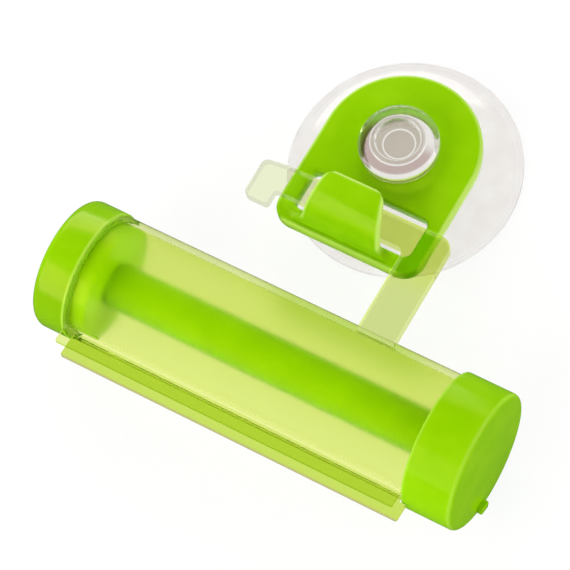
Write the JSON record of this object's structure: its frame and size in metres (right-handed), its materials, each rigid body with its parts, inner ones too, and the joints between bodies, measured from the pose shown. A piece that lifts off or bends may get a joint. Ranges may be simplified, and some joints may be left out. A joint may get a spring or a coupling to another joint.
{
  "type": "toothpaste tube squeezer",
  "caption": "Slotted barrel with a forked spindle and knob that winds up a tube, hung by a crossbar on a hook plate held by a suction cup.",
  "frame": {"origin": "bottom centre of the whole part as it lies on its wall side, in the plane of the suction cup's rim", "axes": "+Z out of the wall, +Y up the wall towards the plate's round top, +X along the barrel towards the knob"},
  "size_m": [0.0998, 0.0988, 0.0297],
  "materials": {
    "suction_cup": "clear soft vinyl, glossy",
    "hook_plate": "opaque leaf green, glossy",
    "barrel": "see-through yellow-green tint, glossy",
    "end_cap": "opaque leaf green, glossy",
    "knob": "opaque leaf green, glossy",
    "spindle": "opaque leaf green, satin"
  },
  "bodies": {
    "cup": {"suction_cup": "suction_cup"},
    "plate": {"hook_plate": "hook_plate"},
    "barrel": {"barrel": "barrel", "end_cap": "end_cap"},
    "key": {"knob": "knob", "spindle": "spindle"}
  },
  "joints": [
    {"name": "plate_turn", "type": "hinge", "parent": "cup", "child": "plate", "pos_m": [-0.0023, 0.02443, 0.009], "axis": [0, 0, 1], "continuous": true},
    {"name": "barrel_lift", "type": "slide", "parent": "plate", "child": "barrel", "axis": [0, 1, 0], "range_m": [0, 0.0052]},
    {"name": "key_turn", "type": "hinge", "parent": "barrel", "child": "key", "pos_m": [-0.0023, -0.03037, 0.01485], "axis": [1, 0, 0], "continuous": true}
  ]
}
